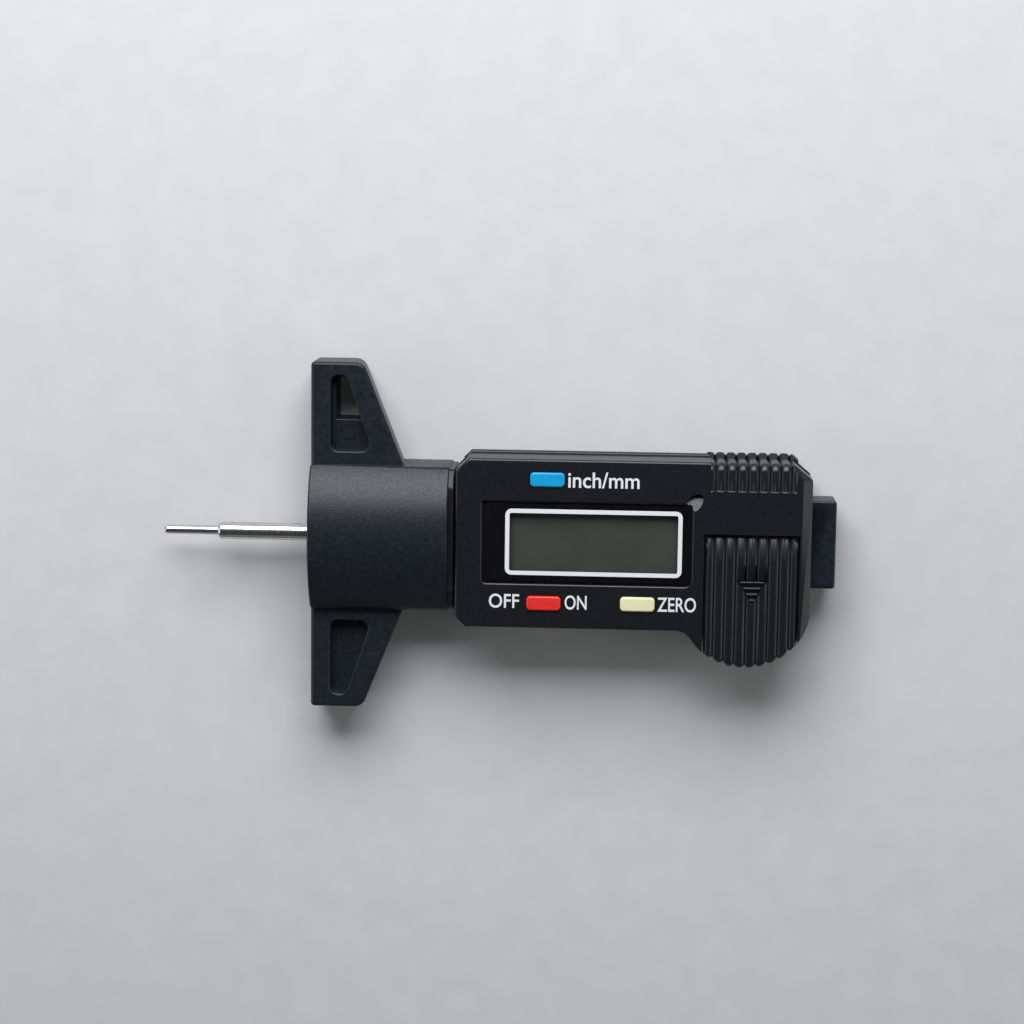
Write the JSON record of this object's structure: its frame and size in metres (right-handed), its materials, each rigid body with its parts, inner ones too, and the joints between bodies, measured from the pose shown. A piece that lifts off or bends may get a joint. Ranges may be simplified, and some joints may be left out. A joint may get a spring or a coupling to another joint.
{
  "type": "tire tread depth gauge",
  "caption": "Digital tread depth gauge with a T-shaped foot, a stepped probe and a sliding display housing with keys, a ribbed thumb grip and a ribbed battery cover.",
  "frame": {"origin": "middle of the overall length and of the foot's width, on the surface the gauge lies on", "axes": "+X along the beam from the probe tip to the beam's end, +Y across the foot towards the thumb grip and the hanging hole, +Z out of the display"},
  "size_m": [0.116, 0.06, 0.0157],
  "materials": {
    "base_plastic": "fine textured black plastic",
    "housing_plastic": "smooth satin black plastic",
    "window_plastic": "glossy black window with a printed white frame",
    "lcd_glass": "blank grey liquid crystal glass",
    "zebra_rubber": "striped conductive elastomer",
    "board_laminate": "green solder mask",
    "chip_epoxy": "black epoxy cap",
    "scale_print": "green laminate strip with copper fields",
    "brass": "turned and milled",
    "spring_bronze": "rolled sheet",
    "screw_steel": "nickel plated",
    "probe_steel": "bright turned stainless steel",
    "key_blue": "blue satin plastic",
    "key_red": "coral red satin plastic",
    "key_cream": "cream satin plastic"
  },
  "bodies": {
    "base": {"base_body": "base_plastic", "guide_bush": "brass", "beam": "base_plastic", "scale_strip": "scale_print", "beam_screw_1": "screw_steel", "beam_screw_2": "screw_steel", "stop_screw": "screw_steel"},
    "slider": {"front_shell": "housing_plastic", "back_cover": "housing_plastic", "case_screw_1": "screw_steel", "case_screw_2": "screw_steel", "case_screw_3": "screw_steel", "case_screw_4": "screw_steel", "display_window": "window_plastic", "lcd_panel": "lcd_glass", "zebra_strip_1": "zebra_rubber", "zebra_strip_2": "zebra_rubber", "circuit_board": "board_laminate", "controller_chip": "chip_epoxy", "unit_switch": "screw_steel", "power_switch": "screw_steel", "zero_switch": "screw_steel", "board_screw_1": "screw_steel", "board_screw_2": "screw_steel", "board_screw_3": "screw_steel", "coin_cell": "screw_steel", "contact_positive": "spring_bronze", "contact_negative": "spring_bronze", "gib_strip": "spring_bronze", "probe_rod": "probe_steel", "probe_carrier": "brass", "probe_pin": "screw_steel", "carrier_screw_1": "screw_steel", "carrier_screw_2": "screw_steel"},
    "unit_key": {"unit_button": "key_blue"},
    "power_key": {"power_button": "key_red"},
    "zero_key": {"zero_button": "key_cream"},
    "cover": {"battery_cover": "housing_plastic"}
  },
  "joints": [
    {"name": "slider_travel", "type": "slide", "parent": "base", "child": "slider", "axis": [1, 0, 0], "range_m": [0, 0.026]},
    {"name": "unit_key_press", "type": "slide", "parent": "slider", "child": "unit_key", "axis": [0, 0, -1], "range_m": [0, 0.00045], "stiffness_N_per_m": 1500},
    {"name": "power_key_press", "type": "slide", "parent": "slider", "child": "power_key", "axis": [0, 0, -1], "range_m": [0, 0.00045], "stiffness_N_per_m": 1500},
    {"name": "zero_key_press", "type": "slide", "parent": "slider", "child": "zero_key", "axis": [0, 0, -1], "range_m": [0, 0.00045], "stiffness_N_per_m": 1500},
    {"name": "battery_cover_slide", "type": "slide", "parent": "slider", "child": "cover", "axis": [0, -1, 0], "range_m": [0, 0.025]}
  ]
}
